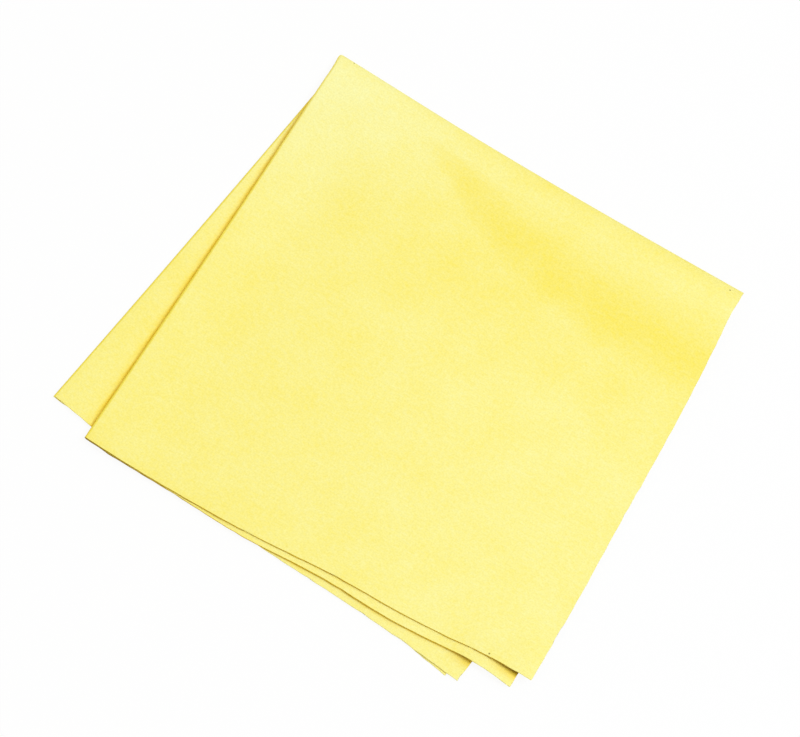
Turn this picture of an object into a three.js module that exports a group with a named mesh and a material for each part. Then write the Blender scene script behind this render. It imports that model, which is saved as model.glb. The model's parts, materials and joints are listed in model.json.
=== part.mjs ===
// Microfibre cleaning cloth, folded twice into quarters and lying flat.
//
// The cloth is one cut sheet of soft non-woven microfibre with raw edges. It is folded in half
// at the side, and the doubled strip is folded in half again at the back, so four layers lie on
// each other. Neither crease is quite square to the sheet, so the cut edges fan out at the front
// and at the right. The sheet is divided at its creases: four layers, and the round folds that
// join them. The upper pair of layers turns up and back about the crest of the back fold.
//
// Millimetres, +Z up. X runs along the back fold and Y from the front edges to the back fold.
// The side crease and the back crease cross at x = 0, y = 0 until the finished cloth is centred.

import * as THREE from 'three';

const { clamp, degToRad, lerp, smoothstep } = THREE.MathUtils;

// The flat sheet.
const SHEET_WIDTH = 404.5;
const SHEET_LENGTH = 400;
const SHEET_THICKNESS = 0.7;

// Air between layers that lie flat, and the parting between a layer and the fold beside it.
const LAYER_GAP = 0.3;
const SEAM_GAP = 0.3;

// Each crease: its angle out of square with the sheet, and its distance from the sheet's middle.
const SIDE_CREASE_SKEW = degToRad(0.835);
const SIDE_CREASE_OFFSET = -0.06;
const BACK_CREASE_SKEW = degToRad(3.325);
const BACK_CREASE_OFFSET = -4;

// The springy side folds hold their two layers this much further apart than lying flat.
const SIDE_FOLD_LOFT = 0.9;
const SIDE_LOFT_REACH = 30;

// The back fold wraps both side folds. It is a deep, soft roll that runs to a crest, and the room
// that it keeps between the two pairs of layers fades out in front of it.
const BACK_FOLD_ROOM = 2.6;
const BACK_FOLD_REACH = 90;
const BACK_FOLD_DEPTH = 13;
const BACK_FOLD_SHARPNESS = 1.2;
const CREST_HEIGHT = 3.4;

// Away from the side crease the back fold swells into a pillow, which grows along the fold. Its
// front slopes down round a line that starts at the fold, runs out from it and turns along it.
const PILLOW_RISE = 2.3;
const PILLOW_RISE_REACH = 150;
const PILLOW_DEPTH = 36;
const PILLOW_START = 29.3;
const PILLOW_TAPER = 80.7;
const PILLOW_TURN = 0.25;
const PILLOW_SLOPE = 40;
const PILLOW_SLOPE_AT_START = 8;

// The free front corners of the two upper layers stand up from the layer below, round a place on
// the front edge a little way in from the corner.
const TOP_LIFT = { rise: 1.6, inset: 3, reach: 20 };
const SECOND_LIFT = { rise: 1.2, inset: 14, reach: 17 };

// The front edge of the upper pair waves gently, more towards its free corner, and sags where it
// hangs out over the edge of the lower pair.
const EDGE_WAVE_HEIGHT = 0.3;
const EDGE_WAVE_LENGTH = 60;
const EDGE_WAVE_FIRST_CREST = 10;
const EDGE_WAVE_REACH = 45;
const OVERHANG_SAG = 0.5;
const OVERHANG_REACH = 14;

// How far the folds stray inwards from straight lines and the cut edges outwards: at the start and
// the end of the line, and then in one half wave along it, in two and so on. A layer has a front
// edge, from its side fold to its free corner, and a free edge, from the back fold to that corner.
const LOWER_SIDE_STRAY = [1.35, 0.5, 0.35];
const UPPER_SIDE_STRAY = [0, -0.75, 0.35];
const TOP_STRAYS = { front: [0, 0, 1.7, 0.8, 0.3, 0, -0.25, 0.25], free: [0, 0.7, 1.3, 0.2, 0.25] };
const SECOND_STRAYS = { front: [0, 0, 1.26, 0.72, -0.05, 0, -0.45, 0.45], free: [0, 0.5, 1.3] };
const THIRD_STRAYS = { front: [0, -0.4, 1.15, 0.45, -0.55], free: [0, -0.8, 1.3] };
const BOTTOM_STRAYS = { front: [0, 0, -1, 0.75, -0.85], free: [0, -0.45, 1.3] };

// The third layer's front edge bulges beside its side fold, round a place this far along it.
const THIRD_BULGE = { rise: 1.4, place: 28, reach: 30 };

// The back fold bows in, and pokes out at the wrapped corner, backwards and sideways.
const BACK_FOLD_BOW = 1.4;
const BACK_FOLD_POKE = 0.5;
const BACK_FOLD_POKE_REACH = 75;
const CORNER_POKE = 1.4;

// Wrapping round the back fold has drawn the bottom layer's free corner back by this much.
const BOTTOM_CORNER_DRAW = 5.3;

// Facets: across and along a layer, closer together towards its edges, then along a side fold,
// round a side fold and round a quarter of the back fold.
const LAYER_COLUMNS = 22;
const UPPER_LAYER_ROWS = 18;
const LOWER_LAYER_ROWS = 4;
const EDGE_CROWDING = 0.5;
const FOLD_STEPS = 18;
const SIDE_FOLD_ARC_STEPS = 6;
const BEND_STEPS = 6;

const CLOTH_COLOUR = 0xfaf092;
const CLOTH_ROUGHNESS = 0.95;

// Sizes that follow from the ones above.
const layerPitch = SHEET_THICKNESS + LAYER_GAP;
const halfThickness = SHEET_THICKNESS / 2;
const sideRadius = (layerPitch + SIDE_FOLD_LOFT) / 2;
const sideInset = sideRadius + halfThickness;
const backInset = BACK_FOLD_DEPTH + halfThickness;

// The layers, from the bottom up. A layer is on one half of the sheet beside the side crease and
// in the upper or the lower pair after the back fold.
const LAYERS = {
  bottom: { half: 1, upper: false, strays: BOTTOM_STRAYS },
  third: { half: -1, upper: false, strays: THIRD_STRAYS },
  second: { half: -1, upper: true, strays: SECOND_STRAYS },
  top: { half: 1, upper: true, strays: TOP_STRAYS },
};

const backDirection = new THREE.Vector2(1, 0);

// Plan position of a sheet point once both folds are made.
function foldedPlan(layer, u, v) {
  const fromCrease = u - SIDE_CREASE_OFFSET;
  const sine = Math.sin(SIDE_CREASE_SKEW);
  const cosine = Math.cos(SIDE_CREASE_SKEW);
  const across = (fromCrease * cosine + v * sine) * layer.half;
  const along = v * cosine - fromCrease * sine - BACK_CREASE_OFFSET;
  const x = along * Math.sin(BACK_CREASE_SKEW) + across * Math.cos(BACK_CREASE_SKEW);
  const y = across * Math.sin(BACK_CREASE_SKEW) - along * Math.cos(BACK_CREASE_SKEW);
  return new THREE.Vector2(x, layer.upper ? y : -y);
}

// Plan directions of a pair of layers: away from the side crease, and along it to the front.
function acrossDirection(upper) {
  const turn = upper ? BACK_CREASE_SKEW : -BACK_CREASE_SKEW;
  return new THREE.Vector2(Math.cos(turn), Math.sin(turn));
}

function frontDirection(upper) {
  const across = acrossDirection(upper);
  return new THREE.Vector2(across.y, -across.x);
}

// Where two plan lines meet, each given by a point and a direction.
function meet(pointA, directionA, pointB, directionB) {
  const apart = pointB.clone().sub(pointA);
  const share = apart.cross(directionB) / directionA.cross(directionB);
  return pointA.clone().addScaledVector(directionA, share);
}

function sideLine(upper, inset) {
  return acrossDirection(upper).multiplyScalar(inset);
}

function backLine(inset) {
  return new THREE.Vector2(0, -inset);
}

// The two cut edges of a layer as plan lines through its free corner.
function cutEdges(layer) {
  const u = (layer.half * SHEET_WIDTH) / 2;
  const v = ((layer.upper ? 1 : -1) * SHEET_LENGTH) / 2;
  const corner = foldedPlan(layer, u, v);
  const front = foldedPlan(layer, 0, v).sub(corner).normalize();
  const side = foldedPlan(layer, u, 0).sub(corner).normalize();
  return { corner, front, side };
}

function frontOfSideLine(layer, inset) {
  const edges = cutEdges(layer);
  return meet(sideLine(layer.upper, inset), frontDirection(layer.upper), edges.corner, edges.front);
}

function freeEndOfBackLine(layer, inset) {
  const edges = cutEdges(layer);
  return meet(backLine(inset), backDirection, edges.corner, edges.side);
}

function backOfSideLine(upper, inset, lineInset) {
  return meet(sideLine(upper, inset), frontDirection(upper), backLine(lineInset), backDirection);
}

// From 1 down to 0 as its argument runs from 0 to 1, level at both ends.
function fade(share) {
  return 1 - smoothstep(share, 0, 1);
}

function strayAt([start, end, ...waves], share) {
  const halfWaves = waves.map((wave, i) => wave * Math.sin((i + 1) * Math.PI * share));
  return halfWaves.reduce((sum, wave) => sum + wave, lerp(start, end, share));
}

function backBow(x) {
  const bow = BACK_FOLD_BOW * Math.sin(Math.PI * clamp(x / (SHEET_WIDTH / 2), 0, 1));
  return bow - BACK_FOLD_POKE * fade(x / BACK_FOLD_POKE_REACH);
}

function sideStray(upper) {
  return upper ? UPPER_SIDE_STRAY : LOWER_SIDE_STRAY;
}

function frontStray(layer, across) {
  const stray = strayAt(layer.strays.front, across);
  if (layer !== LAYERS.third) {
    return stray;
  }
  const fromBulge = Math.abs((across * SHEET_WIDTH) / 2 - THIRD_BULGE.place);
  return stray + THIRD_BULGE.rise * fade(fromBulge / THIRD_BULGE.reach);
}

// Plan point of a layer, at shares of the way from its folds to its cut edges.
function layerPlan(layer, across, along) {
  const { corner, front, side } = cutEdges(layer);
  if (layer === LAYERS.bottom) {
    corner.addScaledVector(side, BOTTOM_CORNER_DRAW);
  }
  const inset = sideInset + SEAM_GAP;
  const lineInset = backInset + SEAM_GAP;
  const backEnd = backOfSideLine(layer.upper, inset, lineInset)
    .lerp(freeEndOfBackLine(layer, lineInset), across);
  const frontEnd = frontOfSideLine(layer, inset).lerp(corner, across);
  const plan = backEnd.clone().lerp(frontEnd, along);
  plan.y -= backBow(backEnd.x) * (1 - along) ** 2;
  const inwards = strayAt(sideStray(layer.upper), along) * (1 - across) ** 2;
  plan.addScaledVector(acrossDirection(layer.upper), inwards);
  plan.addScaledVector(side, -frontStray(layer, across) * along ** 2);
  return plan.addScaledVector(front, -strayAt(layer.strays.free, along) * across ** 2);
}

function springAt(upper, plan) {
  const distance = plan.dot(acrossDirection(upper)) - sideInset;
  return SIDE_FOLD_LOFT * fade(distance / SIDE_LOFT_REACH);
}

function pillowAt(plan) {
  const share = (plan.x - PILLOW_START) / PILLOW_TAPER;
  const past = clamp(share - 1 + PILLOW_TURN, 0, 2 * PILLOW_TURN);
  const depth = PILLOW_DEPTH * (Math.min(share, 1 + PILLOW_TURN) - past ** 2 / (4 * PILLOW_TURN));
  const grown = clamp((plan.x - PILLOW_START) / PILLOW_RISE_REACH, 0, 1);
  const halfSlope = lerp(PILLOW_SLOPE_AT_START, PILLOW_SLOPE, grown) / 2;
  return PILLOW_RISE * grown * (1 - smoothstep(-plan.y, depth - halfSlope, depth + halfSlope));
}

function pastFront(layer, plan) {
  const { corner, front } = cutEdges(layer);
  return front.cross(plan.clone().sub(corner));
}

function cornerLiftAt(layer, lift, plan) {
  const { corner, front } = cutEdges(layer);
  return lift.rise * fade(plan.distanceTo(corner.addScaledVector(front, lift.inset)) / lift.reach);
}

function edgeWaveAt(plan) {
  const across = plan.dot(acrossDirection(true));
  const phase = (2 * Math.PI * (across - EDGE_WAVE_FIRST_CREST)) / EDGE_WAVE_LENGTH;
  const wave = (1 + Math.cos(phase)) / 2;
  const near = fade(Math.abs(pastFront(LAYERS.second, plan)) / EDGE_WAVE_REACH);
  return EDGE_WAVE_HEIGHT * smoothstep(across, 0, SHEET_WIDTH / 2) * wave * near;
}

// Heights of the layers' middle surfaces over a plan point. Each layer lies on the one below it,
// apart from the room that the folds and the lifted corners keep open.
function layerHeights(plan) {
  const lowerSpring = springAt(false, plan);
  const upperSpring = springAt(true, plan);
  const foldShare = fade((-plan.y - backInset) / (BACK_FOLD_REACH - backInset));
  const foldRoom = (BACK_FOLD_ROOM - lowerSpring - upperSpring) * foldShare;
  const sag = OVERHANG_SAG * smoothstep(pastFront(LAYERS.third, plan), 0, OVERHANG_REACH);
  const secondRoom = foldRoom + pillowAt(plan) + edgeWaveAt(plan) - sag
    + cornerLiftAt(LAYERS.second, SECOND_LIFT, plan);
  const topRoom = upperSpring + cornerLiftAt(LAYERS.top, TOP_LIFT, plan);
  const bottom = halfThickness;
  const third = bottom + layerPitch + lowerSpring;
  const second = third + layerPitch + secondRoom;
  const top = second + layerPitch + topRoom;
  return { bottom, third, second, top };
}

// A closed sheet between two faces. The function place gives the point of either face, +1 or -1,
// at a share of the way across the columns and along the rows.
function sheetSolid(columns, rows, place) {
  const positions = [];
  for (const side of [1, -1]) {
    for (let row = 0; row <= rows; row += 1) {
      for (let column = 0; column <= columns; column += 1) {
        positions.push(...place(column / columns, row / rows, side).toArray());
      }
    }
  }
  const faceSize = (columns + 1) * (rows + 1);
  const index = (column, row, side) => row * (columns + 1) + column + (side > 0 ? 0 : faceSize);
  const triangles = [];
  const quad = (a, b, c, d) => triangles.push([a, b, c], [a, c, d]);
  for (let row = 0; row < rows; row += 1) {
    for (let column = 0; column < columns; column += 1) {
      const ring = [[column, row], [column + 1, row], [column + 1, row + 1], [column, row + 1]];
      quad(...ring.map(([i, j]) => index(i, j, 1)));
      quad(...ring.reverse().map(([i, j]) => index(i, j, -1)));
    }
  }
  const wall = (from, to) => {
    quad(index(...to, 1), index(...from, 1), index(...from, -1), index(...to, -1));
  };
  for (let column = 0; column < columns; column += 1) {
    wall([column, 0], [column + 1, 0]);
    wall([column + 1, rows], [column, rows]);
  }
  for (let row = 0; row < rows; row += 1) {
    wall([columns, row], [columns, row + 1]);
    wall([0, row + 1], [0, row]);
  }
  return facingOut(positions, triangles);
}

// A geometry whose faces point out, whichever way round the sheet was laid.
function facingOut(positions, triangles) {
  const point = (i) => new THREE.Vector3().fromArray(positions, 3 * i);
  const volume = triangles.reduce((sum, [a, b, c]) => sum + point(a).dot(point(b).cross(point(c))), 0);
  const indices = triangles.flatMap(([a, b, c]) => (volume > 0 ? [a, b, c] : [a, c, b]));
  const geometry = new THREE.BufferGeometry();
  geometry.setAttribute('position', new THREE.Float32BufferAttribute(positions, 3));
  geometry.setIndex(indices);
  geometry.computeVertexNormals();
  return geometry;
}

// A share of the way across a layer, moved towards the nearer end.
function crowded(share) {
  return share - (EDGE_CROWDING * Math.sin(2 * Math.PI * share)) / (2 * Math.PI);
}

function layerSolid(name, rows) {
  return sheetSolid(LAYER_COLUMNS, rows, (across, along, side) => {
    const plan = layerPlan(LAYERS[name], crowded(across), crowded(along));
    return new THREE.Vector3(plan.x, plan.y, layerHeights(plan)[name] + side * halfThickness);
  });
}

// A point of the back fold on the middle surface of the sheet, or on its outer or inner face. The
// turn runs from a quarter turn, where the fold leaves the layer, down to nothing at the crest.
function rollPoint(name, x, turn, side) {
  const layer = LAYERS[name];
  const wrapped = layer.half > 0 ? 0 : 2 * sideRadius;
  const depth = BACK_FOLD_DEPTH - wrapped + side * halfThickness;
  const y = depth * Math.cos(turn) ** BACK_FOLD_SHARPNESS - backInset - backBow(x);
  const level = layerHeights(new THREE.Vector2(x, y))[name];
  const height = level + (layer.upper ? side : -side) * halfThickness;
  return new THREE.Vector3(x, y, lerp(CREST_HEIGHT, height, Math.sin(turn) ** BACK_FOLD_SHARPNESS));
}

// The turn at a share of the way round the back fold, which stops short of the crest. The level is
// the height that the fold comes from.
function turnAt(share, level) {
  const short = SEAM_GAP / 2 / Math.abs(level - CREST_HEIGHT);
  return lerp(Math.PI / 2, Math.asin(short ** (1 / BACK_FOLD_SHARPNESS)), share);
}

// Where the side crease crosses the back fold, at a share of the way round to the crest.
function rollSide(upper, share) {
  const end = backOfSideLine(upper, sideInset, backInset).x + sideStray(upper)[0];
  const otherEnd = backOfSideLine(!upper, sideInset, backInset).x + sideStray(!upper)[0];
  const poke = CORNER_POKE * Math.sin((Math.PI / 2) * share) ** 2;
  return lerp(end, otherEnd, share / 2) - poke;
}

// Half of a back fold, from its layer to the crest.
function backFoldSolid(name) {
  const layer = LAYERS[name];
  const opposite = { half: layer.half, upper: !layer.upper };
  const freeEnd = freeEndOfBackLine(layer, backInset).x;
  const freeCrest = lerp(freeEnd, freeEndOfBackLine(opposite, backInset).x, 1 / 2);
  return sheetSolid(LAYER_COLUMNS, BEND_STEPS, (along, share, side) => {
    const first = rollSide(layer.upper, share) + SEAM_GAP;
    const x = lerp(first, lerp(freeEnd, freeCrest, share), crowded(along));
    const level = layerHeights(new THREE.Vector2(x, 0))[name];
    const face = level + (layer.upper ? side : -side) * halfThickness;
    return rollPoint(name, x, turnAt(share, face), side);
  });
}

// The side fold of a pair: a half tube along the side crease, which turns with the back fold at
// its far end and stops short of the crest.
function sideFoldSolid(upper) {
  const outer = upper ? 'top' : 'bottom';
  const inner = upper ? 'second' : 'third';
  const outward = upper ? 1 : -1;
  const front = frontOfSideLine(LAYERS[outer], sideInset)
    .lerp(frontOfSideLine(LAYERS[inner], sideInset), 1 / 2);
  const back = backOfSideLine(upper, sideInset, backInset);
  const stations = FOLD_STEPS + BEND_STEPS;
  return sheetSolid(SIDE_FOLD_ARC_STEPS, stations, (round, along, side) => {
    const angle = (round - 1 / 2) * Math.PI;
    const radius = sideRadius + side * halfThickness;
    const out = radius * Math.cos(angle);
    const rise = radius * Math.sin(angle);
    const station = Math.round(along * stations);
    if (station > FOLD_STEPS) {
      const share = (station - FOLD_STEPS) / BEND_STEPS;
      const x = rollSide(upper, share);
      const levels = layerHeights(new THREE.Vector2(x, 0));
      const fromInner = (1 + rise / sideRadius) / 2;
      const turn = turnAt(share, lerp(levels[inner], levels[outer], fromInner));
      const point = rollPoint(inner, x, turn, 0).lerp(rollPoint(outer, x, turn, 0), fromInner);
      point.x -= out;
      return point;
    }
    const toFront = 1 - station / FOLD_STEPS;
    const middle = back.clone().lerp(front, toFront);
    middle.addScaledVector(acrossDirection(upper), strayAt(sideStray(upper), toFront));
    const heights = layerHeights(middle);
    const height = (heights[outer] + heights[inner]) / 2;
    middle.addScaledVector(acrossDirection(upper), -out);
    return new THREE.Vector3(middle.x, middle.y, height + outward * rise);
  });
}

const cloth = new THREE.Group();

function addPiece(name, geometry) {
  const material = new THREE.MeshStandardMaterial({
    color: CLOTH_COLOUR,
    roughness: CLOTH_ROUGHNESS,
    metalness: 0,
    side: THREE.DoubleSide,
  });
  const mesh = new THREE.Mesh(geometry, material);
  mesh.name = name;
  cloth.add(mesh);
}

// The lower pair lies on the table.
addPiece('bottom_layer', layerSolid('bottom', LOWER_LAYER_ROWS));
addPiece('third_layer', layerSolid('third', LOWER_LAYER_ROWS));
addPiece('lower_side_fold', sideFoldSolid(false));
addPiece('outer_back_fold_lower', backFoldSolid('bottom'));
addPiece('inner_back_fold_lower', backFoldSolid('third'));

// The upper pair turns about the crest of the back fold.
addPiece('second_layer', layerSolid('second', UPPER_LAYER_ROWS));
addPiece('top_layer', layerSolid('top', UPPER_LAYER_ROWS));
addPiece('upper_side_fold', sideFoldSolid(true));
addPiece('outer_back_fold_upper', backFoldSolid('top'));
addPiece('inner_back_fold_upper', backFoldSolid('second'));

// The finished cloth stands centred on the origin, with its underside at z = 0.
const box = new THREE.Box3().setFromObject(cloth);
const centre = box.getCenter(new THREE.Vector3());
cloth.position.set(-centre.x, -centre.y, -box.min.z);

const part = new THREE.Group();
part.add(cloth);

export default part;
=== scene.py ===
"""A microfibre cleaning cloth, folded twice into quarters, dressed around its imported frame.

The whole cloth is one flat sheet, laid out as a grid of rows and columns and folded by formula:
columns run from one free edge round the side crease to the other free edge, and rows run from the
lower front edge round the back crease to the upper front edge. The grid is then parted into the
lower pair of layers, the back roll and the upper pair. A layer is named by its half of the sheet,
1 for the outer layers at the bottom and the top and -1 for the inner ones between, and by whether
it belongs to the upper pair. Lengths are in millimetres until a mesh is made, and every mesh is in
metres in the frame of the CAD part.
"""

import json
import math

import bpy
import numpy as np
from mathutils import Matrix, Vector


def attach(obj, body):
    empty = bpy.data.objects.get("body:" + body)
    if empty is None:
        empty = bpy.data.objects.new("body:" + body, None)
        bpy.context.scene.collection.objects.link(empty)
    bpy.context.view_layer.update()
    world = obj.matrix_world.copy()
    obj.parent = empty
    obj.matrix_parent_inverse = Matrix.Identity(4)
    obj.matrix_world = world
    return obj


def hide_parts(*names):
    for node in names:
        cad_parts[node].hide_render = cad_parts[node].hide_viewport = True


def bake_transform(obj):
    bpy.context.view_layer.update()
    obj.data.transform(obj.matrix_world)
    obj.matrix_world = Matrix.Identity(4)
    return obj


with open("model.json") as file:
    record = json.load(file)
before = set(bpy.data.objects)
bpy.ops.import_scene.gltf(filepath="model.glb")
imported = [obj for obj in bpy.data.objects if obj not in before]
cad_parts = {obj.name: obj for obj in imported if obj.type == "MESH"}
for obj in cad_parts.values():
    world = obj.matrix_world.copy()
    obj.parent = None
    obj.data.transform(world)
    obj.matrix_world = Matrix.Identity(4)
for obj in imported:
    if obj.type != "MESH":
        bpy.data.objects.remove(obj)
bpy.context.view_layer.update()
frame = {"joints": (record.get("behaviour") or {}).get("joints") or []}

MM = 0.001

# The flat sheet and its two creases, as cut and folded in the CAD part.
SHEET_WIDTH = 404.5
SHEET_LENGTH = 400.0
SHEET_THICKNESS = 0.7
LAYER_GAP = 0.3
SIDE_CREASE_SKEW = math.radians(0.835)
SIDE_CREASE_OFFSET = -0.06
BACK_CREASE_SKEW = math.radians(3.325)
BACK_CREASE_OFFSET = -4.0

# Room that the springy folds, the lifted corners and the waving edge keep between the layers.
SIDE_FOLD_LOFT = 0.9
SIDE_LOFT_REACH = 30.0
BACK_FOLD_ROOM = 2.6
BACK_FOLD_DEPTH = 13.0
BACK_FOLD_REACH = 90.0
BACK_FOLD_SHARPNESS = 1.2
PILLOW_RISE = 2.3
PILLOW_RISE_REACH = 150.0
PILLOW_DEPTH = 36.0
PILLOW_START = 29.3
PILLOW_TAPER = 80.7
PILLOW_TURN = 0.25
PILLOW_SLOPE = 40.0
PILLOW_SLOPE_AT_START = 8.0
TOP_CORNER_LIFT = 1.6
TOP_LIFT_INSET = 3.0
TOP_LIFT_REACH = 20.0
SECOND_CORNER_LIFT = 1.2
SECOND_LIFT_INSET = 14.0
SECOND_LIFT_REACH = 17.0
EDGE_WAVE_HEIGHT = 0.3
EDGE_WAVE_LENGTH = 60.0
EDGE_WAVE_FIRST_CREST = 10.0
EDGE_WAVE_REACH = 45.0
OVERHANG_SAG = 0.5
OVERHANG_REACH = 14.0
BOTTOM_CORNER_DRAW = 5.3

# How far the folds stray inwards from straight lines and the cut edges outwards: at the start and
# the end of the line, and then in one half wave along it, in two and so on. A layer has a front
# edge, from its side fold to its free corner, and a free edge, from the back fold to that corner.
LOWER_SIDE_STRAY = (1.35, 0.5, 0.35)
UPPER_SIDE_STRAY = (0.0, -0.75, 0.35)
TOP_STRAYS = ((0.0, 0.0, 1.7, 0.8, 0.3, 0.0, -0.25, 0.25), (0.0, 0.7, 1.3, 0.2, 0.25))
SECOND_STRAYS = ((0.0, 0.0, 1.26, 0.72, -0.05, 0.0, -0.45, 0.45), (0.0, 0.5, 1.3))
THIRD_STRAYS = ((0.0, -0.4, 1.15, 0.45, -0.55), (0.0, -0.8, 1.3))
BOTTOM_STRAYS = ((0.0, 0.0, -1.0, 0.75, -0.85), (0.0, -0.45, 1.3))

# The third layer's front edge bulges beside its side fold, by this much, round a place this far
# along the edge and over this reach.
THIRD_BULGE = 1.4
THIRD_BULGE_PLACE = 28.0
THIRD_BULGE_REACH = 30.0

# The back fold bows in, and pokes out at the wrapped corner, backwards and sideways.
BACK_FOLD_BOW = 1.4
BACK_FOLD_POKE = 0.5
BACK_FOLD_POKE_REACH = 75.0
CORNER_POKE = 1.4

# What the fine sheet adds: cut edges that wander and are rounded, and a shallow swell made of two
# crossed waves and a slanting one, each with its length per radian and its phase.
EDGE_RAGGEDNESS = 0.12
EDGE_SMOOTHING = (0.25, 0.5, 0.25)
EDGE_SEED = 7
EDGE_ROUND = 0.12
SWELL_HEIGHT = 0.3
SWELL_ACROSS = (23.0, 1.3)
SWELL_ALONG = (31.0, 0.4)
SWELL_SLANTING = (41.0, 2.1)

# Grid: cells across and along a layer, round a side fold and round the back roll, with close
# loops beside each cut edge.
LAYER_CELLS = 110
TUBE_CELLS = 14
ROLL_CELLS = 40
ROLL_CREST_CLOSENESS = 0.65
EDGE_LOOPS = (0.15, 0.6)

# Rows of the layers that the back roll carries, and the sheet's length from the roll's crest to its
# foot as a share of its depth.
ROLL_EXTRA_ROWS = 2
ROLL_LENGTH_SHARE = 1.1

# The camera, from the folded corners in the photograph of 800 by 737 pixels. It looks at a point
# given from where the two creases cross.
PHOTO_WIDTH = 800
CAMERA_AZIMUTH = math.radians(33.38)
CAMERA_ELEVATION = math.radians(69.015)
CAMERA_ROLL = math.radians(0.13)
CAMERA_DISTANCE = 975.0
CAMERA_FOCAL_PIXELS = 2353.0
CAMERA_TARGET = (101.04, -106.36, 0.0)
CAMERA_CLIP_START = 10.0
SENSOR_WIDTH = 36.0

# Painted shade and light in the cloth's tone: painted shade where the cloth slopes away from a light
# at the back right, where it turns towards the back at the back fold and beside the upper side fold,
# and painted light near the corner where the creases cross and towards the free edge.
CLOTH_TONE = 0.385
PAINTED_LIGHT_DIRECTION = (0.6, 0.8)
PAINTED_SHADE_AWAY_FROM_LIGHT = 0.51
PAINTED_SHADE_FULL_SLOPE = 0.16
PAINTED_SHADE_AT_BACK_FOLD = 0.14
PAINTED_SHADE_BACK_SLOPE = 0.4
PAINTED_SHADOW_BESIDE_FOLD = 0.23
PAINTED_SHADOW_FOLD_REACH = 5.0
PAINTED_LIGHT_AT_CORNER = 0.45
PAINTED_LIGHT_CORNER_REACH = 120.0
PAINTED_LIGHT_AT_FREE_EDGE = 0.13

# Dark painted shade of the gaps between layers lies on the cut front edges of the upper pair as far
# along as another layer lies below, and on the second layer just inside the pair, up to a little
# behind the top layer's edge or up to that edge at its lifted corner. It is full at the lifted
# corners, weaker beside the side fold and weakest between. It also lies on the third layer below
# the second layer's corner.
GAP_SHADE_ALONG_EDGE = 0.3
GAP_SHADE_AT_SIDE_FOLD = 0.75
GAP_SHADE_SIDE_FOLD_REACH = 75.0
GAP_SHADE_BELOW_SECOND = 0.6
GAP_SHADE_BELOW_INSET = 0.6

# The strip of painted shade inside the pair begins at a place counted forwards from the top layer's
# edge, fades out over its reach in front of that, and ends one to two depths behind the edge.
GAP_SHADE_START = -1.5
GAP_SHADE_CORNER_START = -0.2
GAP_SHADE_REACH = 1.6
GAP_SHADE_DEPTH = 4.0

# How far along its front edge each upper layer has another one below it.
TOP_EDGE_COVER = 192.0
SECOND_EDGE_COVER = 178.0
EDGE_COVER_FADE = 6.0

# Golden painted shade lies on and beside the upper side fold, on the third layer along the second
# layer's front edge, on the layers in front of the lifted corners and wherever the dark painted
# shade lies on the upper pair. Along the side fold it sets in some way from the back.
WARM_SHADE_BESIDE_FOLD_REACH = 2.2
WARM_SHADE_FOLD_TILT = (math.radians(30), math.radians(75))
WARM_SHADE_FOLD_START = 12.0
WARM_SHADE_FOLD_FULL = 36.0
WARM_SHADE_EDGE_INSET = 1.2
WARM_SHADE_EDGE_REACH = 2.0
WARM_SHADE_CORNER_REACH = 5.0

# How the fibres take the light.
CLOTH_SURFACE = {
    "Roughness": 0.92,
    "Specular IOR Level": 0.15,
    "Sheen Weight": 0.1,
    "Sheen Roughness": 0.55,
    "Sheen Tint": (1.0, 0.9, 0.4, 1.0),
}

# Patterns on the flat sheet: slow clouds, a mottle, a fine grain, and filaments stretched along two
# directions that cross. Each is a noise with a scale per millimetre.
CLOUD = {"scale": 0.06, "detail": 2.0, "roughness": 0.5}
MOTTLE = {"scale": 0.5, "detail": 4.0, "roughness": 0.6}
GRAIN = {"scale": 1.3, "detail": 2.0, "roughness": 0.6}
FILAMENT = {"scale": 1.0, "detail": 2.0, "roughness": 0.5}
FILAMENT_STRETCH = (0.22, 2.4, 1.0)
FILAMENT_ANGLES = (0.6, -0.9)

# The values that a noise mostly keeps to, and those of two crossed filaments.
NOISE_RANGE = (0.3, 0.7)
STRAND_RANGE = (0.12, 0.4)

# How far each pattern shifts the tone either way, how far the grain shades it, and the relief.
CLOUD_TONE = 0.08
MOTTLE_TONE = 0.125
GRAIN_TONE = 0.03
STRAND_TONE = 0.08
GRAIN_SHADE = 0.045
RELIEF_HEIGHT = 0.15
RELIEF_STRENGTH = 0.8
GRAIN_RELIEF = 0.5
STRAND_RELIEF = 0.4

# Specks of lint on the flat sheet, and their radius.
SPECKS = ((7.8, 2.5), (196.9, 5.7), (183.3, 198.9))
SPECK_RADIUS = 0.45

# Colours are linear.
# The tone between the light and the deep colour carries the cloth's mottle and the painted shade and
# light.
CLOTH_LIGHT = (0.95, 0.94, 0.46, 1.0)
CLOTH_DEEP = (0.95, 0.81, 0.12, 1.0)
# Golden painted shade.
CLOTH_WARM_SHADE = (0.95, 0.66, 0.016, 1.0)
# Dark painted shade of the gaps between layers.
CLOTH_GAP_SHADE = (0.14, 0.07, 0.002, 1.0)
SPECK_COLOUR = (0.3, 0.24, 0.07, 1.0)
FLOOR_COLOUR = (0.9, 0.9, 0.9, 1.0)
AMBIENT_COLOUR = (1.0, 0.92, 0.72, 1.0)
BACKDROP_COLOUR = (1.0, 1.0, 1.0, 1.0)
KEY_COLOUR = (0.63, 0.74, 1.0)

# The floor lies just below the cloth. To the camera most of it glows white, and the rest keeps the
# shadow.
FLOOR_SIZE = 6000.0
FLOOR_DROP = 0.2
FLOOR_GLOW = 0.92

# The soft light of the room is stronger from overhead than from the sides. A broad lamp hangs high
# to the right of the cloth and a little behind it.
AMBIENT_AT_HORIZON = 0.22
AMBIENT_OVERHEAD = 0.97
KEY_WATTS = 54.7
KEY_DIAMETER = 1400.0
KEY_PLACE = (1420.0, 510.0, 2580.0)

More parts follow.
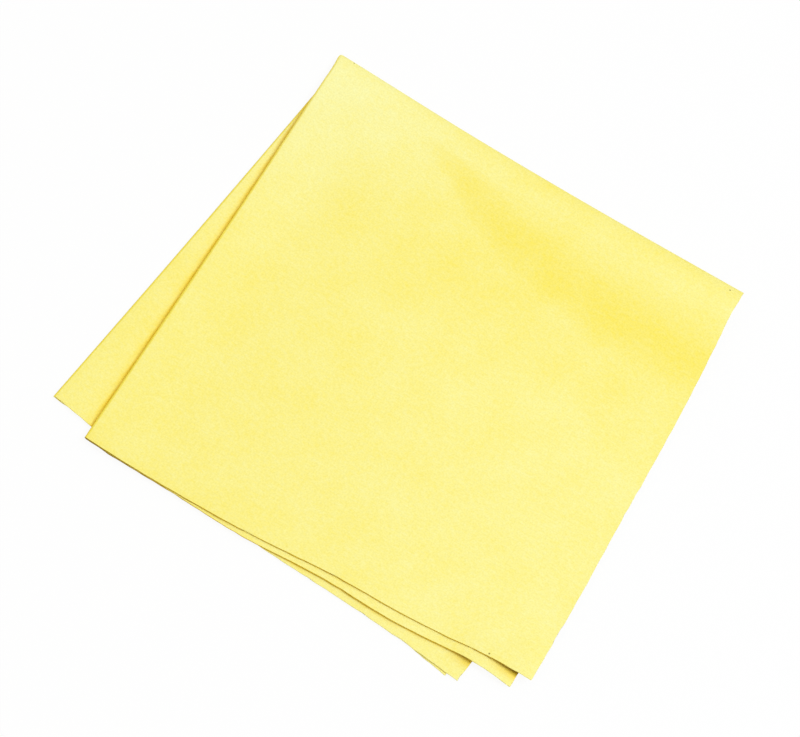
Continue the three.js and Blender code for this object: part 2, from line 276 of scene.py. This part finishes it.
layer_pitch = SHEET_THICKNESS + LAYER_GAP
half_thickness = SHEET_THICKNESS / 2
side_radius = (layer_pitch + SIDE_FOLD_LOFT) / 2
side_inset = side_radius + half_thickness
back_inset = BACK_FOLD_DEPTH + half_thickness

# The hinge stands on the crest of the back fold at its wrapped corner. The two straight creases
# cross on the table just in front of it.
hinge = Vector(frame["joints"][0]["pos_m"])
hinge_height = hinge.z / MM
crossing = Vector((hinge.x, hinge.y - BACK_FOLD_POKE * MM, 0.0))


def across_direction(upper):
    turn = BACK_CREASE_SKEW if upper else -BACK_CREASE_SKEW
    return np.array([math.cos(turn), math.sin(turn)])


def front_direction(upper):
    across = across_direction(upper)
    return np.array([across[1], -across[0]])


def cross(a, b):
    return a[..., 0] * b[..., 1] - a[..., 1] * b[..., 0]


def meet(point_a, direction_a, point_b, direction_b):
    """Where two plan lines meet, each given by a point and a direction."""
    share = cross(point_b - point_a, direction_b) / cross(direction_a, direction_b)
    return point_a + share * direction_a


def folded_plan(half, upper, u, v):
    """Plan position of a sheet point once both folds are made."""
    sine, cosine = math.sin(SIDE_CREASE_SKEW), math.cos(SIDE_CREASE_SKEW)
    from_crease = u - SIDE_CREASE_OFFSET
    across = (from_crease * cosine + v * sine) * half
    along = v * cosine - from_crease * sine - BACK_CREASE_OFFSET
    x = along * math.sin(BACK_CREASE_SKEW) + across * math.cos(BACK_CREASE_SKEW)
    y = across * math.sin(BACK_CREASE_SKEW) - along * math.cos(BACK_CREASE_SKEW)
    return np.array([x, y if upper else -y])


def cut_edges(half, upper):
    """A layer's free corner, and the plan directions of its two cut edges from there."""
    u = half * SHEET_WIDTH / 2
    v = (1 if upper else -1) * SHEET_LENGTH / 2
    corner = folded_plan(half, upper, u, v)
    front = folded_plan(half, upper, 0, v) - corner
    side = folded_plan(half, upper, u, 0) - corner
    return corner, front / np.linalg.norm(front), side / np.linalg.norm(side)


def side_line_front(half, upper):
    corner, front, _ = cut_edges(half, upper)
    return meet(across_direction(upper) * side_inset, front_direction(upper), corner, front)


def side_line_back(upper):
    return meet(
        across_direction(upper) * side_inset, front_direction(upper),
        np.array([0.0, -back_inset]), np.array([1.0, 0.0]),
    )


def back_line_free(half, upper):
    corner, _, side = cut_edges(half, upper)
    return meet(np.array([0.0, -back_inset]), np.array([1.0, 0.0]), corner, side)


def lerp(a, b, share):
    return a + (b - a) * share


def smooth(share):
    share = np.clip(share, 0.0, 1.0)
    return share * share * (3 - 2 * share)


def fade(share):
    return 1 - smooth(share)


def spring_at(upper, plan):
    distance = plan @ across_direction(upper) - side_inset
    return SIDE_FOLD_LOFT * fade(distance / SIDE_LOFT_REACH)


def pillow_at(plan):
    """Swelling of the back fold, which starts a little way in from the side crease."""
    x, behind = plan[..., 0], -plan[..., 1]
    share = (x - PILLOW_START) / PILLOW_TAPER
    past = np.clip(share - 1 + PILLOW_TURN, 0, 2 * PILLOW_TURN)
    depth = PILLOW_DEPTH * (np.minimum(share, 1 + PILLOW_TURN) - past ** 2 / (4 * PILLOW_TURN))
    grown = np.clip((x - PILLOW_START) / PILLOW_RISE_REACH, 0, 1)
    slope = lerp(PILLOW_SLOPE_AT_START, PILLOW_SLOPE, grown)
    return PILLOW_RISE * grown * fade((behind - depth) / slope + 0.5)


def past_front(half, upper, plan):
    """How far plan points lie in front of a layer's front edge."""
    corner, front, _ = cut_edges(half, upper)
    return cross(front, plan - corner)


def near_corner(half, inset, reach, plan):
    corner, front, _ = cut_edges(half, True)
    return fade(np.linalg.norm(plan - corner - front * inset, axis=-1) / reach)


def near_top_corner(plan):
    """How far plan points share in the lift of the top layer's free corner."""
    return near_corner(1, TOP_LIFT_INSET, TOP_LIFT_REACH, plan)


def near_second_corner(plan):
    """How far plan points share in the lift of the second layer's free corner."""
    return near_corner(-1, SECOND_LIFT_INSET, SECOND_LIFT_REACH, plan)


def edge_wave_at(plan):
    across = plan @ across_direction(True)
    wave = (1 + np.cos(2 * math.pi * (across - EDGE_WAVE_FIRST_CREST) / EDGE_WAVE_LENGTH)) / 2
    near = fade(np.abs(past_front(-1, True, plan)) / EDGE_WAVE_REACH)
    return EDGE_WAVE_HEIGHT * smooth(across / (SHEET_WIDTH / 2)) * wave * near


def swell_wave(place, wave):
    radian_length, phase = wave
    return np.sin(place / radian_length + phase)


def unevenness_at(plan):
    """A slow, shallow swell of the upper pair, which fades out at the back fold."""
    x, y = plan[..., 0], plan[..., 1]
    crossed = swell_wave(x, SWELL_ACROSS) * swell_wave(y, SWELL_ALONG)
    share = (2 + crossed + swell_wave(x + y, SWELL_SLANTING)) / 4
    return SWELL_HEIGHT * share * smooth((-back_inset - y) / PILLOW_DEPTH)


def layer_heights(plan):
    """Heights of the four layers' middle surfaces over plan points, from the bottom layer up."""
    lower_spring = spring_at(False, plan)
    upper_spring = spring_at(True, plan)
    fold_share = fade((-plan[..., 1] - back_inset) / (BACK_FOLD_REACH - back_inset))
    fold_room = (BACK_FOLD_ROOM - lower_spring - upper_spring) * fold_share
    sag = OVERHANG_SAG * smooth(past_front(-1, False, plan) / OVERHANG_REACH)
    second_room = (
        fold_room + pillow_at(plan) + edge_wave_at(plan) + unevenness_at(plan) - sag
        + SECOND_CORNER_LIFT * near_second_corner(plan)
    )
    top_room = upper_spring + TOP_CORNER_LIFT * near_top_corner(plan)
    bottom = np.full(plan.shape[:-1], half_thickness)
    third = bottom + layer_pitch + lower_spring
    second = third + layer_pitch + second_room
    top = second + layer_pitch + top_room
    return bottom, third, second, top


def height_of(half, upper, plan):
    bottom, third, second, top = layer_heights(plan)
    if upper:
        return top if half > 0 else second
    return bottom if half > 0 else third


def stray_at(stray, share):
    start, end, *waves = stray
    waving = sum(wave * np.sin(i * math.pi * share) for i, wave in enumerate(waves, 1))
    return lerp(start, end, share) + waving


def back_bow(x):
    bow = BACK_FOLD_BOW * np.sin(math.pi * np.clip(x / (SHEET_WIDTH / 2), 0, 1))
    return bow - BACK_FOLD_POKE * fade(x / BACK_FOLD_POKE_REACH)


def side_stray(upper, along):
    return stray_at(UPPER_SIDE_STRAY if upper else LOWER_SIDE_STRAY, along)


def front_stray(half, upper, across):
    stray = stray_at(layer_strays(half, upper)[0], across)
    if upper or half > 0:
        return stray
    from_bulge = across * SHEET_WIDTH / 2 - THIRD_BULGE_PLACE
    return stray + THIRD_BULGE * fade(np.abs(from_bulge) / THIRD_BULGE_REACH)


def free_stray(half, upper, along):
    return stray_at(layer_strays(half, upper)[1], along)


def layer_strays(half, upper):
    if upper:
        return TOP_STRAYS if half > 0 else SECOND_STRAYS
    return BOTTOM_STRAYS if half > 0 else THIRD_STRAYS


def panel(half, upper, across, along):
    """Middle surface of a layer, at shares of the way from its folds to its cut edges."""
    corner, front, side = cut_edges(half, upper)
    if not upper and half > 0:
        corner = corner + side * BOTTOM_CORNER_DRAW
    across, along = across[..., None], along[..., None]
    back_edge = lerp(side_line_back(upper), back_line_free(half, upper), across)
    front_edge = lerp(side_line_front(half, upper), corner, across)
    plan = lerp(back_edge, front_edge, along)
    plan = plan - np.array([0.0, 1.0]) * back_bow(back_edge[..., :1]) * (1 - along) ** 2
    plan = plan + across_direction(upper) * side_stray(upper, along) * (1 - across) ** 2
    plan = plan - side * front_stray(half, upper, across) * along ** 2
    plan = plan - front * free_stray(half, upper, along) * across ** 2
    return np.concatenate([plan, height_of(half, upper, plan)[..., None]], -1)


def side_tube(upper, angle, along):
    """Middle surface of a pair's side fold. The angle runs from the outer layer to the inner."""
    front = lerp(side_line_front(1, upper), side_line_front(-1, upper), 0.5)
    middle = lerp(side_line_back(upper), front, along[..., None])
    middle = middle + across_direction(upper) * side_stray(upper, along)[..., None]
    height = (height_of(1, upper, middle) + height_of(-1, upper, middle)) / 2
    outward = 1 if upper else -1
    plan = middle - across_direction(upper) * (side_radius * np.cos(angle))[..., None]
    rise = outward * side_radius * np.sin(angle)
    return np.concatenate([plan, (height + rise)[..., None]], -1)


def roll_point(half, x, turn):
    """A point of the back roll. The turn runs from -90 degrees below to 90 degrees above."""
    depth = BACK_FOLD_DEPTH if half > 0 else BACK_FOLD_DEPTH - 2 * side_radius
    y = depth * np.cos(turn) ** BACK_FOLD_SHARPNESS - back_inset - back_bow(x)
    plan = np.stack([x, y], -1)
    layer = np.where(turn > 0, height_of(half, True, plan), height_of(half, False, plan))
    reach = np.abs(np.sin(turn)) ** BACK_FOLD_SHARPNESS
    z = lerp(hinge_height, layer, reach)
    return np.stack([x, y, z], -1)


def roll_side(turn):
    lower = side_line_back(False)[0] + LOWER_SIDE_STRAY[0]
    upper = side_line_back(True)[0] + UPPER_SIDE_STRAY[0]
    return lerp(lower, upper, turn / math.pi + 0.5) - CORNER_POKE * np.cos(turn) ** 2


def roll_half(half, across, turn):
    last = lerp(back_line_free(half, False)[0], back_line_free(half, True)[0], turn / math.pi + 0.5)
    return roll_point(half, lerp(roll_side(turn), last, across), turn)


def roll_tube(angle, turn):
    outer = roll_point(1, roll_side(turn), turn)
    inner = roll_point(-1, roll_side(turn), turn)
    point = lerp(inner, outer, (1 + np.sin(angle))[..., None] / 2)
    point[..., 0] -= side_radius * np.cos(angle)
    return point


def edge_shares(length):
    """Shares of the way to a cut edge: even steps, then close loops beside the edge."""
    close = [1 - loop / length for loop in sorted(EDGE_LOOPS, reverse=True)]
    even = np.linspace(0, close[0], LAYER_CELLS + 1)
    return np.concatenate([even, close[1:], [1.0]])


def sheet_grid():
    """Middle surface of the folded sheet by rows and columns, with flat sheet coordinates."""
    across = edge_shares(SHEET_WIDTH / 2)
    along = edge_shares(SHEET_LENGTH / 2)
    angles = np.linspace(math.pi / 2, -math.pi / 2, TUBE_CELLS + 1)[1:-1]
    turns = np.linspace(-1, 1, ROLL_CELLS + 1)[1:-1]
    turns = math.pi / 2 * lerp(turns, turns ** 3, ROLL_CREST_CLOSENESS)

    def pair_rows(upper, shares):
        rows, columns = np.meshgrid(shares, across, indexing="ij")
        outer = panel(1, upper, columns, rows)[:, ::-1]
        inner = panel(-1, upper, columns, rows)
        rows, columns = np.meshgrid(shares, angles, indexing="ij")
        return np.concatenate([outer, side_tube(upper, columns, rows), inner], 1)

    rows, columns = np.meshgrid(turns, across, indexing="ij")
    outer = roll_half(1, columns, rows)[:, ::-1]
    inner = roll_half(-1, columns, rows)
    rows, columns = np.meshgrid(turns, angles, indexing="ij")
    roll = np.concatenate([outer, roll_tube(columns, rows), inner], 1)
    grid = np.concatenate([pair_rows(False, along[::-1]), roll, pair_rows(True, along)], 0)

    tube_length = math.pi * side_radius / 2
    roll_length = ROLL_LENGTH_SHARE * BACK_FOLD_DEPTH
    half_width = across * (SHEET_WIDTH / 2 - tube_length) + tube_length
    half_length = along * (SHEET_LENGTH / 2 - roll_length) + roll_length
    u = np.concatenate([half_width[::-1], angles * side_radius, -half_width])
    v = np.concatenate([-half_length[::-1], turns / (math.pi / 2) * roll_length, half_length])
    flat = np.stack(np.meshgrid(u, v), -1)
    return grid, flat, len(along)


def unit(vectors):
    return vectors / np.linalg.norm(vectors, axis=-1, keepdims=True)


def ragged_edges(grid, random):
    """Moves the points at the cut edges in and out a little, as shears leave them."""
    grid = grid.copy()
    rows, columns, _ = grid.shape

    def wander(count):
        rough = random.normal(0, 1, count)
        return EDGE_RAGGEDNESS * np.convolve(rough, EDGE_SMOOTHING, "same")

    depth = len(EDGE_LOOPS) + 1
    for edge, inside in ((0, depth), (-1, -1 - depth)):
        out = unit(grid[:, edge] - grid[:, inside])
        grid[:, edge] += out * wander(rows)[:, None]
        out = unit(grid[edge] - grid[inside])
        grid[edge] += out * wander(columns)[:, None]
    return grid


def rim(rows, columns):
    """Grid places round the border of a block of rows and columns, in order."""
    top = [(0, c) for c in range(columns - 1)]
    right = [(r, columns - 1) for r in range(rows - 1)]
    bottom = [(rows - 1, c) for c in range(columns - 1, 0, -1)]
    left = [(r, 0) for r in range(rows - 1, 0, -1)]
    return top + right + bottom + left


def beside_upper_fold(plan):
    """How far plan points lie outside the upper pair's side fold."""
    stray = side_stray(True, np.clip(-plan[..., 1] / (SHEET_LENGTH / 2), 0, 1))
    return stray - plan @ across_direction(True)


def before_front_edge(half, plan):
    """How far plan points lie in front of the straying front edge of a layer of the upper pair."""
    across = np.clip(plan @ across_direction(True) / (SHEET_WIDTH / 2), 0, 1)
    return past_front(half, True, plan) - front_stray(half, True, across)


def painted_light_and_shade_tone(grid, normals):
    """Each grid point's place between the deep colour and the light one, by painted shade and light.
    """
    facing = normals * np.where(normals[..., 2:] < 0, -1.0, 1.0)
    away_from_light = -(facing[..., :2] @ np.array(PAINTED_LIGHT_DIRECTION))
    beside = beside_upper_fold(grid[..., :2])
    # Painted shade where the cloth faces away from the light, turns to the back and lies beside the
    # upper side fold; painted light near the crossing corner and the free edge.
    deep = PAINTED_SHADE_AWAY_FROM_LIGHT * np.clip(away_from_light / PAINTED_SHADE_FULL_SLOPE, 0, 1)
    deep = deep + PAINTED_SHADE_AT_BACK_FOLD * smooth(facing[..., 1] / PAINTED_SHADE_BACK_SLOPE)
    deep = deep + PAINTED_SHADOW_BESIDE_FOLD * fade(beside / PAINTED_SHADOW_FOLD_REACH) * (beside > 0)
    pale = PAINTED_LIGHT_AT_CORNER * fade(np.linalg.norm(grid[..., :2], axis=-1) / PAINTED_LIGHT_CORNER_REACH)
    pale = pale + PAINTED_LIGHT_AT_FREE_EDGE * smooth(grid[..., 0] / (SHEET_WIDTH / 2))
    return CLOTH_TONE + pale - deep


def covered_edge(grid):
    """How far the cut front edges of the upper pair have another layer below them."""
    rows, columns = np.indices(grid.shape[:2])
    cover = np.where(columns < grid.shape[1] // 2, TOP_EDGE_COVER, SECOND_EDGE_COVER)
    covered = fade((grid[..., :2] @ across_direction(True) - cover) / EDGE_COVER_FADE)
    return covered * (rows == len(grid) - 1)


def inside_upper_pair(plan):
    """How far plan points lie in the strip of painted shade between the upper layers' front edges."""
    before = before_front_edge(1, plan)
    start = lerp(GAP_SHADE_START, GAP_SHADE_CORNER_START, near_top_corner(plan))
    return fade((before - start) / GAP_SHADE_REACH) * fade(-before / GAP_SHADE_DEPTH - 1)


def gap_shade_shares(grid, layer_rows):
    """How far the dark painted shade of the gaps lies on the sheet's outer side, inner side and rim.
    """
    plan = grid[..., :2]
    rows, columns = np.indices(plan.shape[:2])
    inner_half = columns > plan.shape[1] // 2
    second = inner_half & (rows >= len(grid) - layer_rows)
    third = inner_half & (rows < layer_rows)
    top_lift = near_top_corner(plan)
    second_lift = near_second_corner(plan)
    lift = np.where(inner_half, second_lift, top_lift)
    beside_fold = fade(plan @ across_direction(True) / GAP_SHADE_SIDE_FOLD_REACH)
    along = lerp(GAP_SHADE_ALONG_EDGE, GAP_SHADE_AT_SIDE_FOLD, beside_fold)
    edge = covered_edge(grid) * lerp(along, 1.0, lift)
    inner = second * inside_upper_pair(plan) * lerp(along, 1.0, top_lift)
    before = before_front_edge(-1, plan) + GAP_SHADE_BELOW_INSET
    below = GAP_SHADE_BELOW_SECOND * third * second_lift * fade(np.abs(before) / GAP_SHADE_REACH)
    return np.stack([np.maximum(edge, below), np.maximum(inner, edge), edge], -1)


def warm_shade_shares(grid, normals, layer_rows):
    """How far the golden painted shade lies on the sheet's outer side, its inner side and its rim."""
    plan = grid[..., :2]
    rows, columns = np.indices(plan.shape[:2])
    upper = rows >= len(grid) - layer_rows
    inner_half = columns > plan.shape[1] // 2
    third = inner_half & (rows < layer_rows)
    edge = covered_edge(grid)
    at_corner = near_top_corner(plan) * fade(before_front_edge(1, plan) / WARM_SHADE_CORNER_REACH)
    inner = inner_half * upper * np.maximum(at_corner, inside_upper_pair(plan))
    before = before_front_edge(-1, plan)
    along = smooth((-plan[..., 1] - WARM_SHADE_FOLD_START) / (WARM_SHADE_FOLD_FULL - WARM_SHADE_FOLD_START))
    below = np.maximum.reduce([
        along * fade(np.abs(beside_upper_fold(plan)) / WARM_SHADE_BESIDE_FOLD_REACH),
        fade(np.abs(before + WARM_SHADE_EDGE_INSET) / WARM_SHADE_EDGE_REACH),
        near_second_corner(plan) * fade(np.abs(before) / WARM_SHADE_CORNER_REACH),
    ])
    start, full = WARM_SHADE_FOLD_TILT
    tilt = np.arccos(np.clip(np.abs(normals[..., 2]), 0, 1))
    on_fold = along * smooth((tilt - start) / (full - start))
    outer = np.where(upper, on_fold, third * below)
    return np.stack([np.maximum(outer, edge), np.maximum(inner, edge), edge], -1)


def sheet_mesh(name, grid, normals, flat, tones, seams, material):
    """A closed sheet from a block of the grid: two faces and a rim, rounded but at seam rows."""
    rows, columns, _ = grid.shape
    count = rows * columns
    upper = (grid + normals * half_thickness).reshape(-1, 3)
    lower = (grid - normals * half_thickness).reshape(-1, 3)
    border = np.array([r * columns + c for r, c in rim(rows, columns)])
    centre = grid.reshape(-1, 3)
    tangent = np.roll(centre[border], -1, 0) - np.roll(centre[border], 1, 0)
    outward = unit(np.cross(normals.reshape(-1, 3)[border], tangent))
    cut = ~np.isin(border // columns, seams)
    middle = centre[border] - outward * EDGE_ROUND * cut[:, None]
    points = np.concatenate([upper, lower, middle]) * MM + np.array(crossing)

    index = np.arange(count).reshape(rows, columns)
    cells = np.stack([index[:-1, :-1], index[:-1, 1:], index[1:, 1:], index[1:, :-1]], -1)
    cells = cells.reshape(-1, 4)
    loop = np.arange(len(border))
    after = np.roll(loop, -1)
    rim_above = np.stack([border[after], border[loop], 2 * count + loop, 2 * count + after], -1)
    rim_below = np.stack(
        [2 * count + after, 2 * count + loop, count + border[loop], count + border[after]], -1
    )
    faces = np.concatenate([cells, cells[:, ::-1] + count, rim_above, rim_below])

    mesh = bpy.data.meshes.new(name)
    mesh.from_pydata(points.tolist(), [], faces.tolist())
    mesh.polygons.foreach_set("use_smooth", np.ones(len(faces), bool))
    ends = np.empty((len(mesh.edges), 2), np.int32)
    mesh.edges.foreach_get("vertices", ends.ravel())
    on_seam = np.isin(ends % count // columns, seams) & (ends < 2 * count)
    mesh.attributes.new("sharp_edge", "BOOLEAN", "EDGE").data.foreach_set("value", on_seam.all(1))
    flat = flat.reshape(-1, 2)
    places = np.concatenate([flat, flat, flat[border]])
    layer = mesh.uv_layers.new(name="sheet")
    corners = np.empty(len(mesh.loops), np.int32)
    mesh.loops.foreach_get("vertex_index", corners)
    layer.uv.foreach_set("vector", places[corners].astype(np.float32).ravel())
    for label, shares in tones.items():
        outer, inner, edge = shares.reshape(-1, 3).T
        shares = np.concatenate([outer, inner, edge[border]]).astype(np.float32)
        mesh.attributes.new(label, "FLOAT", "POINT").data.foreach_set("value", shares)
    mesh.materials.append(material)
    mesh.validate()
    piece = bpy.data.objects.new(name, mesh)
    bpy.context.scene.collection.objects.link(piece)
    return piece


def node(tree, kind, **inputs):
    made = tree.nodes.new(kind)
    for key, value in inputs.items():
        made.inputs[key.replace("_", " ")].default_value = value
    return made


def noise(tree, vector, scale, detail, roughness):
    made = node(tree, "ShaderNodeTexNoise", Scale=scale, Detail=detail, Roughness=roughness)
    tree.links.new(vector, made.inputs["Vector"])
    return made.outputs["Fac"]


def math_node(tree, operation, first, second):
    made = tree.nodes.new("ShaderNodeMath")
    made.operation = operation
    for socket, value in zip(made.inputs, (first, second)):
        if isinstance(value, (int, float)):
            socket.default_value = value
        else:
            tree.links.new(value, socket)
    return made.outputs[0]


def remap(tree, value, low, high, to_low, to_high):
    made = node(
        tree, "ShaderNodeMapRange", From_Min=low, From_Max=high, To_Min=to_low, To_Max=to_high
    )
    tree.links.new(value, made.inputs["Value"])
    return made.outputs["Result"]


def blend_colour(tree, share, first, second):
    made = tree.nodes.new("ShaderNodeMix")
    made.data_type = "RGBA"
    tree.links.new(share, made.inputs["Factor"])
    for key, colour in (("A", first), ("B", second)):
        socket = next(s for s in made.inputs if s.name == key and s.type == "RGBA")
        if isinstance(colour, tuple):
            socket.default_value = colour
        else:
            tree.links.new(colour, socket)
    return next(s for s in made.outputs if s.type == "RGBA")


def cloth_material():
    """Non-woven microfibre: mottled pale yellow, painted light and shade, suede pile, faint filaments,
    lint.
    """
    material = bpy.data.materials.new("microfibre")
    material.use_nodes = True
    tree = material.node_tree
    shader = tree.nodes["Principled BSDF"]
    for socket, value in CLOTH_SURFACE.items():
        shader.inputs[socket].default_value = value

    place = tree.nodes.new("ShaderNodeUVMap")
    place.uv_map = "sheet"
    flat = place.outputs["UV"]
    mottle = noise(tree, flat, **MOTTLE)
    grain = noise(tree, flat, **GRAIN)
    cloud = noise(tree, flat, **CLOUD)

    def filaments(angle):
        turned = tree.nodes.new("ShaderNodeMapping")
        turned.inputs["Rotation"].default_value = (0, 0, angle)
        turned.inputs["Scale"].default_value = FILAMENT_STRETCH
        tree.links.new(flat, turned.inputs["Vector"])
        return noise(tree, turned.outputs["Vector"], **FILAMENT)

    strands = math_node(tree, "MULTIPLY", *map(filaments, FILAMENT_ANGLES))

    def attribute(label):
        made = tree.nodes.new("ShaderNodeAttribute")
        made.attribute_name = label
        return made.outputs["Fac"]

    # The tone starts from the painted shade and light; the mottle, grain, clouds and filaments add to
    # it.
    tone = attribute("painted_light_and_shade")
    for pattern, values, shift in (
        (mottle, NOISE_RANGE, MOTTLE_TONE),
        (grain, NOISE_RANGE, GRAIN_TONE),
        (cloud, NOISE_RANGE, CLOUD_TONE),
        (strands, STRAND_RANGE, STRAND_TONE),
    ):
        tone = math_node(tree, "ADD", tone, remap(tree, pattern, *values, -shift, shift))
    shade = tree.nodes.new("ShaderNodeVectorMath")
    shade.operation = "SCALE"
    tree.links.new(blend_colour(tree, tone, CLOTH_DEEP, CLOTH_LIGHT), shade.inputs["Vector"])
    shading = remap(tree, grain, *NOISE_RANGE, 1 - GRAIN_SHADE, 1 + GRAIN_SHADE)
    tree.links.new(shading, shade.inputs["Scale"])
    # Golden painted shade.
    surface = blend_colour(tree, attribute("warm_shade"), shade.outputs["Vector"], CLOTH_WARM_SHADE)
    # Dark painted shade of the gaps between layers.
    surface = blend_colour(tree, attribute("gap_shade"), surface, CLOTH_GAP_SHADE)
    for u, v in SPECKS:
        distance = tree.nodes.new("ShaderNodeVectorMath")
        distance.operation = "DISTANCE"
        distance.inputs[1].default_value = (u, v, 0)
        tree.links.new(flat, distance.inputs[0])
        marked = remap(tree, distance.outputs["Value"], SPECK_RADIUS / 2, SPECK_RADIUS, 1.0, 0.0)
        surface = blend_colour(tree, marked, surface, SPECK_COLOUR)
    tree.links.new(surface, shader.inputs["Base Color"])

    height = math_node(tree, "ADD", mottle, math_node(tree, "MULTIPLY", grain, GRAIN_RELIEF))
    height = math_node(tree, "ADD", height, math_node(tree, "MULTIPLY", strands, STRAND_RELIEF))
    bump = node(tree, "ShaderNodeBump", Strength=RELIEF_STRENGTH, Distance=RELIEF_HEIGHT * MM)
    tree.links.new(height, bump.inputs["Height"])
    tree.links.new(bump.outputs["Normal"], shader.inputs["Normal"])
    return material


def make_cloth():
    grid, flat, layer_rows = sheet_grid()
    grid = ragged_edges(grid, np.random.default_rng(EDGE_SEED))
    normals = unit(np.cross(np.gradient(grid, axis=1), np.gradient(grid, axis=0)))
    painted_light_and_shade = painted_light_and_shade_tone(grid, normals)
    # Painted light and shade, the dark painted shade of the gaps and the golden painted shade, kept as
    # attributes.
    tones = {
        "painted_light_and_shade": np.stack([painted_light_and_shade, painted_light_and_shade, painted_light_and_shade], -1),
        "gap_shade": gap_shade_shares(grid, layer_rows),
        "warm_shade": warm_shade_shares(grid, normals, layer_rows),
    }
    material = cloth_material()
    first_seam = layer_rows - 1 - ROLL_EXTRA_ROWS
    second_seam = len(grid) - layer_rows + ROLL_EXTRA_ROWS

    def block(name, first, last):
        rows = slice(first, last + 1)
        seams = [row - first for row in (first_seam, second_seam)]
        piece = sheet_mesh(
            name, grid[rows], normals[rows], flat[rows],
            {label: shares[rows] for label, shares in tones.items()}, seams, material,
        )
        return piece

    lower = block("cloth_lower_pair", 0, first_seam)
    roll = block("cloth_back_roll", first_seam, second_seam)
    upper = block("cloth_upper_pair", second_seam, len(grid) - 1)
    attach(lower, "lower_half")
    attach(upper, "upper_half")
    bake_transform(roll)
    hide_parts("bottom_layer", "third_layer", "lower_side_fold")
    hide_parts("top_layer", "second_layer", "upper_side_fold")
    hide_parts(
        "outer_back_fold_lower", "outer_back_fold_upper",
        "inner_back_fold_lower", "inner_back_fold_upper",
    )


def seen_rays(tree):
    """One where a ray comes from the camera, straight, by a reflection or through glass, else zero."""
    rays = tree.nodes.new("ShaderNodeLightPath")
    seen = math_node(tree, "MAXIMUM", rays.outputs["Is Camera Ray"], rays.outputs["Is Glossy Ray"])
    return math_node(tree, "MAXIMUM", seen, rays.outputs["Is Transmission Ray"])


def mix_shaders(tree, share, first, second, output):
    mix = tree.nodes.new("ShaderNodeMixShader")
    tree.links.new(share, mix.inputs["Fac"])
    tree.links.new(first.outputs[0], mix.inputs[1])
    tree.links.new(second.outputs[0], mix.inputs[2])
    tree.links.new(mix.outputs[0], tree.nodes[output].inputs["Surface"])


def make_floor():
    bpy.ops.mesh.primitive_plane_add(size=FLOOR_SIZE * MM, location=(0, 0, -FLOOR_DROP * MM))
    floor = bpy.context.object
    floor.name = "floor"
    material = bpy.data.materials.new("floor")
    material.use_nodes = True
    tree = material.node_tree
    tree.nodes.remove(tree.nodes["Principled BSDF"])
    surface = node(tree, "ShaderNodeBsdfDiffuse", Color=FLOOR_COLOUR)
    glow = node(tree, "ShaderNodeEmission", Strength=1.0)
    glowing = math_node(tree, "MULTIPLY", seen_rays(tree), FLOOR_GLOW)
    mix_shaders(tree, glowing, surface, glow, "Material Output")
    floor.data.materials.append(material)


def make_lights():
    world = bpy.data.worlds.new("studio")
    bpy.context.scene.world = world
    world.use_nodes = True
    tree = world.node_tree
    ambient = tree.nodes["Background"]
    ambient.inputs["Color"].default_value = AMBIENT_COLOUR
    direction = tree.nodes.new("ShaderNodeSeparateXYZ")
    tree.links.new(tree.nodes.new("ShaderNodeTexCoord").outputs["Generated"], direction.inputs[0])
    overhead = remap(tree, direction.outputs["Z"], 0.0, 1.0, AMBIENT_AT_HORIZON, AMBIENT_OVERHEAD)
    tree.links.new(overhead, ambient.inputs["Strength"])
    backdrop = node(tree, "ShaderNodeBackground", Color=BACKDROP_COLOUR, Strength=1.0)
    mix_shaders(tree, seen_rays(tree), ambient, backdrop, "World Output")

    lamp = bpy.data.lights.new("key", "AREA")
    lamp.shape = "DISK"
    lamp.size = KEY_DIAMETER * MM
    lamp.energy = KEY_WATTS
    lamp.color = KEY_COLOUR
    key = bpy.data.objects.new("key", lamp)
    key.location = Vector(KEY_PLACE) * MM
    key.rotation_euler = (-Vector(key.location)).to_track_quat("-Z", "Y").to_euler()
    bpy.context.scene.collection.objects.link(key)


def make_camera():
    data = bpy.data.cameras.new("camera")
    data.sensor_width = SENSOR_WIDTH
    data.lens = CAMERA_FOCAL_PIXELS / PHOTO_WIDTH * SENSOR_WIDTH
    data.clip_start = CAMERA_CLIP_START * MM
    camera = bpy.data.objects.new("camera", data)
    back = Vector((
        math.sin(CAMERA_AZIMUTH) * math.cos(CAMERA_ELEVATION),
        -math.cos(CAMERA_AZIMUTH) * math.cos(CAMERA_ELEVATION),
        math.sin(CAMERA_ELEVATION),
    ))
    right = Vector((math.cos(CAMERA_AZIMUTH), math.sin(CAMERA_AZIMUTH), 0.0))
    up = back.cross(right)
    turn = Matrix.Rotation(CAMERA_ROLL, 3, back)
    axes = Matrix((turn @ right, turn @ up, back)).transposed()
    camera.matrix_world = Matrix.LocRotScale(
        crossing + (Vector(CAMERA_TARGET) + back * CAMERA_DISTANCE) * MM, axes.to_quaternion(), None
    )
    bpy.context.scene.collection.objects.link(camera)
    bpy.context.scene.camera = camera


make_camera()
make_cloth()
make_floor()
make_lights()
bpy.context.scene.view_settings.view_transform = "Standard"
